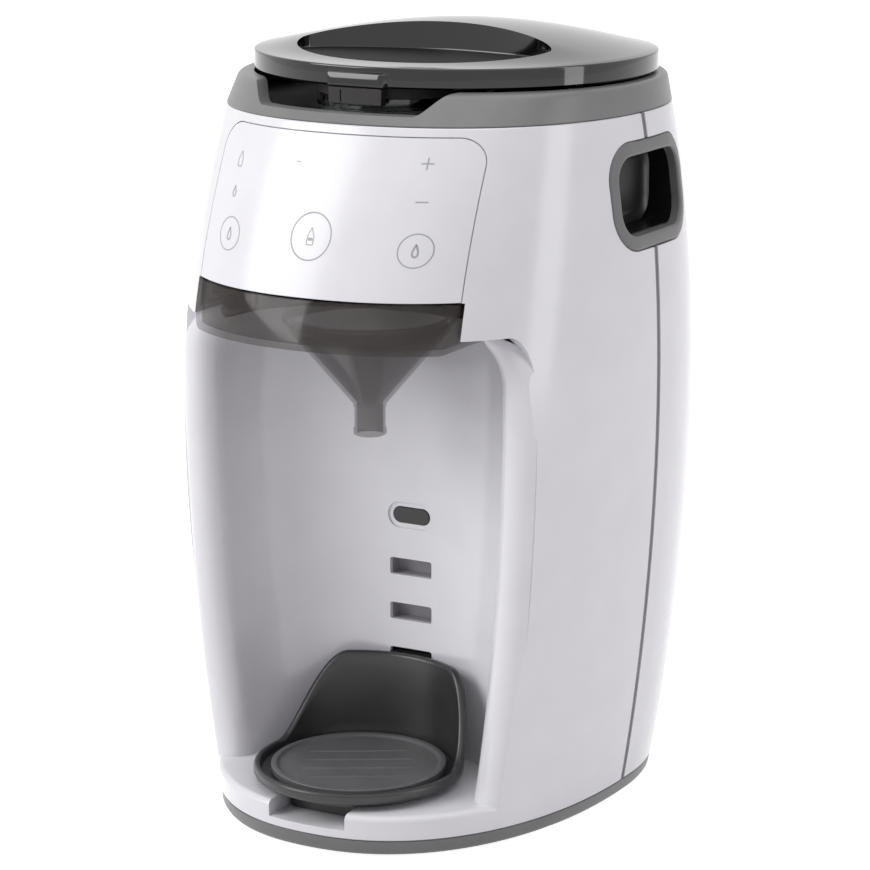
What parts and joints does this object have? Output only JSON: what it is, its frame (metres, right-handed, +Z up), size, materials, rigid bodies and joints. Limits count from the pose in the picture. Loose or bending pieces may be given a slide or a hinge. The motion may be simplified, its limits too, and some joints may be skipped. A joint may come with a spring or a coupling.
{
  "type": "baby formula maker",
  "caption": "Counter-top baby formula maker: barrel body, black domed lid, touch panel, smoked funnel drawer and a round bottle stand in an alcove.",
  "frame": {"origin": "on the counter, under the middle of the footprint", "axes": "+Z up, -Y to the front with the alcove and touch panel, +X to the viewer's right from the front"},
  "size_m": [0.2272, 0.2684, 0.3731],
  "materials": {
    "casing_white": "gloss white moulded ABS",
    "mid_grey": "satin grey moulding",
    "stand_grey": "semi-gloss dark grey moulding",
    "black_plastic": "satin black moulding",
    "smoked_clear": "smoked clear plastic",
    "lid_black": "high gloss black",
    "clear_plastic": "clear plastic",
    "foot_rubber": "matt black rubber",
    "hose_silicone": "milky silicone",
    "steel": "brushed steel",
    "board_green": "green circuit board",
    "gear_nylon": "natural nylon"
  },
  "bodies": {
    "machine": {"base_plate": "mid_grey", "foot_front_left": "foot_rubber", "foot_front_right": "foot_rubber", "foot_rear_left": "foot_rubber", "foot_rear_right": "foot_rubber", "base_screw_front_left": "steel", "base_screw_front_right": "steel", "base_screw_rear_left": "steel", "base_screw_rear_right": "steel", "front_casing": "casing_white", "rear_casing": "casing_white", "seam_strip_left_lower": "mid_grey", "seam_strip_left_upper": "mid_grey", "seam_strip_right_lower": "mid_grey", "seam_strip_right_upper": "mid_grey", "grip_cup_left": "mid_grey", "grip_cup_right": "mid_grey", "sensor_window": "black_plastic", "sensor_module": "board_green", "touch_panel": "casing_white", "panel_board": "board_green", "drawer_rail_left": "gear_nylon", "drawer_rail_right": "gear_nylon", "top_collar": "mid_grey", "hinge_pin": "steel", "inner_bezel": "black_plastic", "water_tank": "clear_plastic", "valve_spring": "steel", "chassis": "black_plastic", "dosing_deck": "black_plastic", "powder_container": "smoked_clear", "dose_scraper": "gear_nylon", "dosing_motor": "steel", "water_pump": "black_plastic", "water_heater": "steel", "water_outlet": "black_plastic", "hose_tank": "hose_silicone", "hose_pump": "hose_silicone", "hose_outlet": "hose_silicone", "main_board": "board_green", "mains_inlet": "black_plastic"},
    "lid": {"lid": "lid_black", "lid_seal": "hose_silicone", "lid_latch": "smoked_clear"},
    "drawer": {"funnel_drawer": "smoked_clear"},
    "funnel": {"funnel": "smoked_clear"},
    "stand": {"bottle_stand": "stand_grey"},
    "drip": {"drip_plate": "stand_grey"},
    "dosing_rotor": {"dosing_shaft": "steel", "drive_gear": "gear_nylon", "dosing_disc": "gear_nylon", "agitator": "gear_nylon"},
    "pinion": {"motor_pinion": "gear_nylon"},
    "valve": {"tank_valve": "hose_silicone"}
  },
  "joints": [
    {"name": "lid_hinge", "type": "hinge", "parent": "machine", "child": "lid", "pos_m": [0, 0.11391, 0.353], "axis": [-1, 0, 0], "range_deg": [0, 95]},
    {"name": "drawer_slide", "type": "slide", "parent": "machine", "child": "drawer", "axis": [0, -1, 0], "range_m": [0, 0.055]},
    {"name": "funnel_lift", "type": "slide", "parent": "drawer", "child": "funnel", "axis": [0, 0, 1], "range_m": [0, 0.012]},
    {"name": "stand_slide", "type": "slide", "parent": "machine", "child": "stand", "axis": [0, -1, 0], "range_m": [0, 0.06]},
    {"name": "drip_lift", "type": "slide", "parent": "stand", "child": "drip", "axis": [0, 0, 1], "range_m": [0, 0.03]},
    {"name": "rotor_spin", "type": "hinge", "parent": "machine", "child": "dosing_rotor", "pos_m": [0, -0.03459, 0.286], "axis": [0, 0, 1], "continuous": true},
    {"name": "pinion_spin", "type": "hinge", "parent": "machine", "child": "pinion", "pos_m": [0, -0.00759, 0.266], "axis": [0, 0, 1], "continuous": true},
    {"name": "valve_lift", "type": "slide", "parent": "machine", "child": "valve", "axis": [0, 0, 1], "range_m": [0, 0.003], "stiffness_N_per_m": 150, "springref_m": -0.003, "deforming": ["valve_spring"]}
  ],
  "couplings": [
    {"joint": "pinion_spin", "follows": "rotor_spin", "ratio": -2.6}
  ]
}
